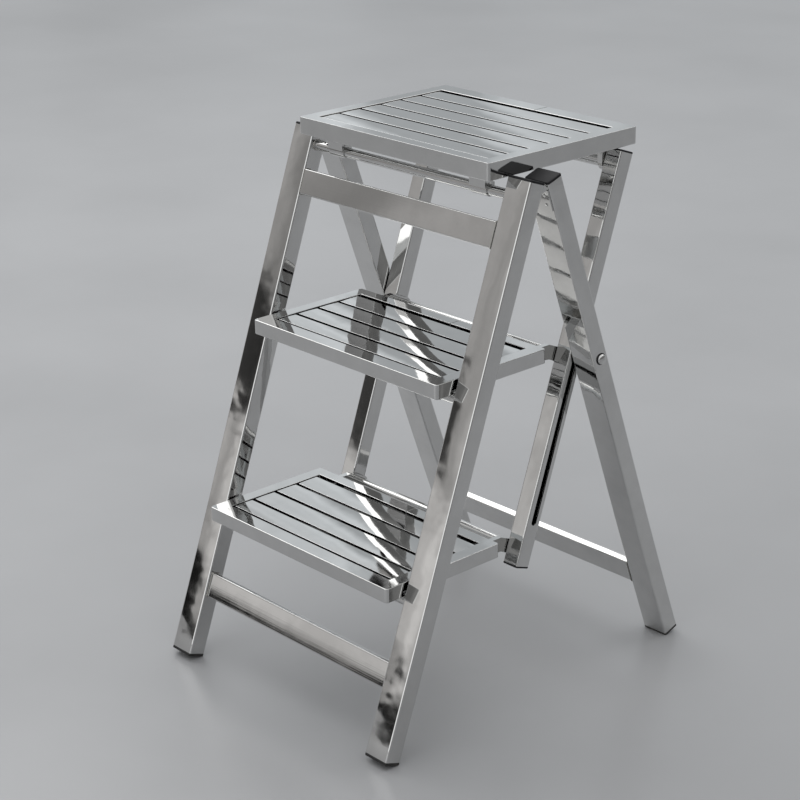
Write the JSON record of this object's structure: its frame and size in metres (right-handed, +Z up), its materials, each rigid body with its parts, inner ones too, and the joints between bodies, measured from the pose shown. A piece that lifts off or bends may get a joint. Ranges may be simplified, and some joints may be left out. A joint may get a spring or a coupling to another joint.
{
  "type": "folding step stool",
  "caption": "Folding metal step stool with slatted treads and a slatted seat on top; tube legs, slotted carrier frame, everything folds flat together.",
  "frame": {"origin": "on the floor, under the middle of the open stool's footprint", "axes": "+Z up, +X to the right-hand side, +Y to the back; a user climbs facing +Y"},
  "size_m": [0.3958, 0.4808, 0.64],
  "materials": {
    "tube_steel": "mirror-polished stainless steel tube",
    "tread_steel": "mirror-polished stainless steel sheet",
    "fitting_steel": "polished stainless steel",
    "cap_plastic": "satin black plastic",
    "foot_rubber": "black rubber"
  },
  "bodies": {
    "front_frame": {"front_leg_left": "tube_steel", "front_leg_right": "tube_steel", "front_top_caps": "cap_plastic", "front_foot_caps": "foot_rubber", "front_upper_crossbar": "tube_steel", "front_lower_crossbar": "tube_steel", "seat_hinge_tube": "tube_steel", "middle_hinge_tube": "tube_steel", "lower_hinge_tube": "tube_steel", "front_hinge_leaves": "fitting_steel", "hinge_pins": "fitting_steel"},
    "rear_frame": {"rear_leg_left": "tube_steel", "rear_leg_right": "tube_steel", "rear_top_caps": "cap_plastic", "rear_foot_caps": "foot_rubber", "rear_lower_crossbar": "tube_steel", "rear_hinge_leaves": "fitting_steel", "slide_bolts": "fitting_steel"},
    "carrier_frame": {"carrier_leg_left": "tube_steel", "carrier_leg_right": "tube_steel", "carrier_top_caps": "cap_plastic", "carrier_bottom_caps": "cap_plastic", "carrier_top_tube": "tube_steel", "carrier_middle_tube": "tube_steel", "carrier_lower_tube": "tube_steel"},
    "seat": {"seat_front_rail": "tread_steel", "seat_rear_rail": "tread_steel", "seat_left_rail": "tread_steel", "seat_right_rail": "tread_steel", "seat_slat_1": "tread_steel", "seat_slat_2": "tread_steel", "seat_slat_3": "tread_steel", "seat_slat_4": "tread_steel", "seat_slat_5": "tread_steel", "seat_slat_6": "tread_steel", "seat_front_tabs": "fitting_steel", "seat_rear_lugs": "fitting_steel"},
    "middle_tread": {"middle_front_rail": "tread_steel", "middle_rear_rail": "tread_steel", "middle_left_rail": "tread_steel", "middle_right_rail": "tread_steel", "middle_slat_1": "tread_steel", "middle_slat_2": "tread_steel", "middle_slat_3": "tread_steel", "middle_slat_4": "tread_steel", "middle_front_tabs": "fitting_steel", "middle_rear_lugs": "fitting_steel"},
    "lower_tread": {"lower_front_rail": "tread_steel", "lower_rear_rail": "tread_steel", "lower_left_rail": "tread_steel", "lower_right_rail": "tread_steel", "lower_slat_1": "tread_steel", "lower_slat_2": "tread_steel", "lower_slat_3": "tread_steel", "lower_slat_4": "tread_steel", "lower_front_tabs": "fitting_steel", "lower_rear_lugs": "fitting_steel"}
  },
  "joints": [
    {"name": "seat_fold", "type": "hinge", "parent": "front_frame", "child": "seat", "pos_m": [0, -0.01723, 0.6004], "axis": [1, 0, 0], "range_deg": [0, 60.9]},
    {"name": "middle_tread_fold", "type": "hinge", "parent": "front_frame", "child": "middle_tread", "pos_m": [0, -0.0938, 0.3857], "axis": [1, 0, 0], "range_deg": [0, 60.9]},
    {"name": "lower_tread_fold", "type": "hinge", "parent": "front_frame", "child": "lower_tread", "pos_m": [0, -0.17095, 0.1694], "axis": [1, 0, 0], "range_deg": [0, 60.9]},
    {"name": "carrier_swing", "type": "hinge", "parent": "seat", "child": "carrier_frame", "pos_m": [0, 0.16624, 0.6004], "axis": [1, 0, 0], "range_deg": [-60.9, 0]},
    {"name": "rear_legs_fold", "type": "hinge", "parent": "front_frame", "child": "rear_frame", "pos_m": [0, 0.00175, 0.60956], "axis": [1, 0, 0], "range_deg": [-38.91, 0]}
  ],
  "couplings": [
    {"joint": "middle_tread_fold", "follows": "seat_fold", "ratio": 1},
    {"joint": "lower_tread_fold", "follows": "seat_fold", "ratio": 1},
    {"joint": "carrier_swing", "follows": "seat_fold", "ratio": -1},
    {"joint": "rear_legs_fold", "follows": "seat_fold", "ratio": -0.6388}
  ]
}
